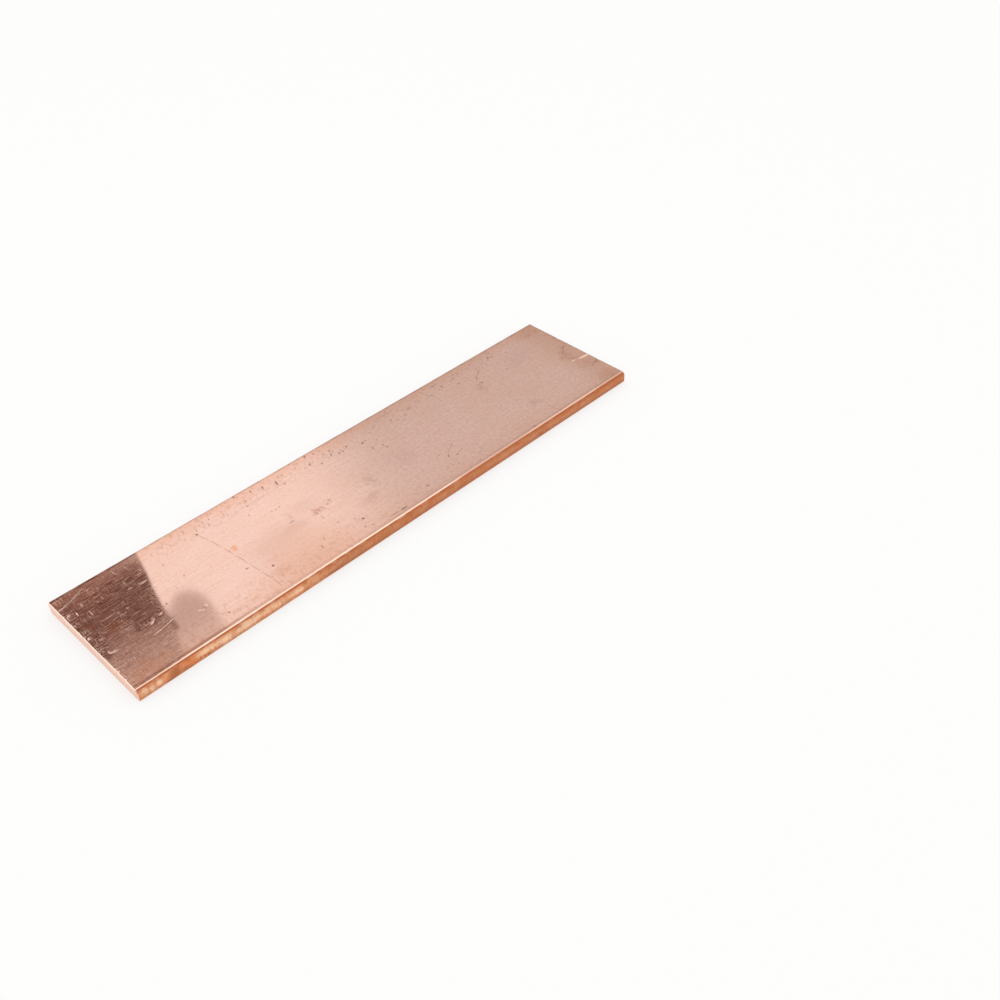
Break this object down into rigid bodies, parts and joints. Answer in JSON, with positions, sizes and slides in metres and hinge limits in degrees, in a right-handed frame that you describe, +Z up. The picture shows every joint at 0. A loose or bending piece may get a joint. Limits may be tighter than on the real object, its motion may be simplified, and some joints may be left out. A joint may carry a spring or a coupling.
{
  "type": "copper flat bar",
  "caption": "Straight length of rectangular copper flat bar, slit from sheet and cut square at both ends. Of its four long corners, two opposite ones are rounded and two are almost sharp.",
  "frame": {"origin": "middle of the lower wide face, on the surface that the bar lies on", "axes": "+X along the bar's length, +Y across its width, +Z up through its thickness"},
  "size_m": [0.15, 0.035, 0.003],
  "materials": {
    "bare_copper": null
  },
  "bodies": {
    "root": {"flat_bar": "bare_copper"}
  },
  "joints": []
}
